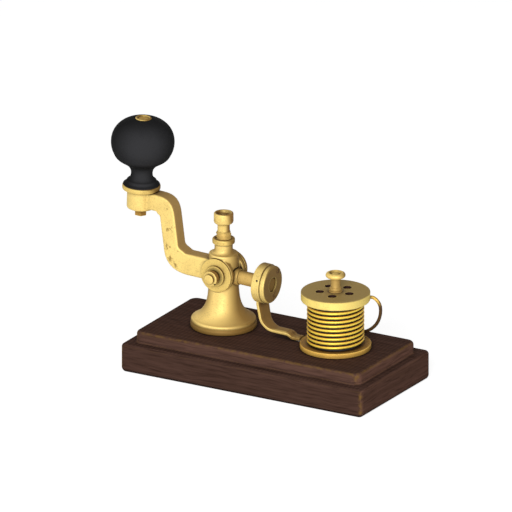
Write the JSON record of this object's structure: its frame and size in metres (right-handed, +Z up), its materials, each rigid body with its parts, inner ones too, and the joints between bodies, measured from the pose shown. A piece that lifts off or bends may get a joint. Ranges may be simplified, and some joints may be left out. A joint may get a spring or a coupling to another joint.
{
  "type": "telegraph key",
  "caption": "Telegraph key: a turned pillar on a stepped wooden base carries a bent rocking lever with a round knob, a balance disc and a strap that meets a contact beside an upright coil.",
  "frame": {"origin": "middle of the base's underside, on the surface that it stands on", "axes": "+X along the base from the knob end to the coil end, +Y across the base away from the side that the picture shows, +Z up"},
  "size_m": [0.1769, 0.076, 0.1346],
  "materials": {
    "walnut": "oiled, satin",
    "polished_brass": "old lacquered, satin",
    "aged_brass": "dull",
    "steel": "brushed",
    "soft_iron": "dull",
    "ebonite": "matt",
    "winding_wire": "satin"
  },
  "bodies": {
    "stand": {"plinth": "walnut", "top_board": "walnut", "pillar": "polished_brass", "front_bearing_plate": "polished_brass", "rear_bearing_plate": "polished_brass", "coil_cap": "polished_brass", "contact_nut": "aged_brass", "link_strip": "aged_brass", "coil_foot": "aged_brass", "cap_screw_set": "aged_brass", "board_screws": "steel", "rest_contact": "steel", "pillar_bolt": "steel", "pillar_washer": "steel", "plunger": "steel", "tension_spring": "steel", "coil_bolt": "steel", "coil_washer": "steel", "coil_core": "soft_iron", "bobbin": "ebonite", "winding": "winding_wire", "lead_wire": "winding_wire"},
    "lever": {"lever_arm": "polished_brass", "pivot_axle": "polished_brass", "axle_spacers": "aged_brass", "front_axle_collar": "aged_brass", "rear_axle_collar": "aged_brass", "front_axle_nut": "polished_brass", "rear_axle_nut": "polished_brass", "knob_ferrule": "polished_brass", "knob": "ebonite", "knob_ring": "polished_brass", "knob_bolt": "aged_brass", "knob_nut": "aged_brass", "balance_rod": "polished_brass", "rod_collar": "polished_brass", "balance_disc": "polished_brass", "disc_set_screw": "steel", "contact_strap": "polished_brass"},
    "seat": {"spring_seat": "steel"},
    "tension": {"tension_screw": "polished_brass"},
    "lock": {"lock_ring": "polished_brass"},
    "washer": {"terminal_washer": "aged_brass"},
    "terminal": {"terminal_screw": "polished_brass"}
  },
  "joints": [
    {"name": "lever_pivot", "type": "hinge", "parent": "stand", "child": "lever", "pos_m": [-0.0325, 0, 0.0545], "axis": [0, -1, 0], "range_deg": [0, 3], "stiffness_Nm_per_rad": 0.1, "springref_deg": -22.92},
    {"name": "seat_climb", "type": "slide", "parent": "stand", "child": "seat", "axis": [0, 0, 1], "range_m": [-0.00135, 0.00135], "deforming": ["tension_spring"]},
    {"name": "tension_turn", "type": "hinge", "parent": "seat", "child": "tension", "pos_m": [-0.0325, 0, 0.07], "axis": [0, 0, 1], "range_deg": [-270, 270]},
    {"name": "lock_turn", "type": "hinge", "parent": "stand", "child": "lock", "pos_m": [-0.0325, 0, 0.072], "axis": [0, 0, 1], "range_deg": [-180, 180]},
    {"name": "washer_climb", "type": "slide", "parent": "stand", "child": "washer", "axis": [0, 0, 1], "range_m": [0, 0.0014]},
    {"name": "terminal_turn", "type": "hinge", "parent": "washer", "child": "terminal", "pos_m": [0.038, 0, 0.056], "axis": [0, 0, 1], "range_deg": [0, 720]}
  ],
  "couplings": [
    {"joint": "tension_turn", "follows": "seat_climb", "rad_per_m": 3490.7},
    {"joint": "terminal_turn", "follows": "washer_climb", "rad_per_m": 8976}
  ]
}
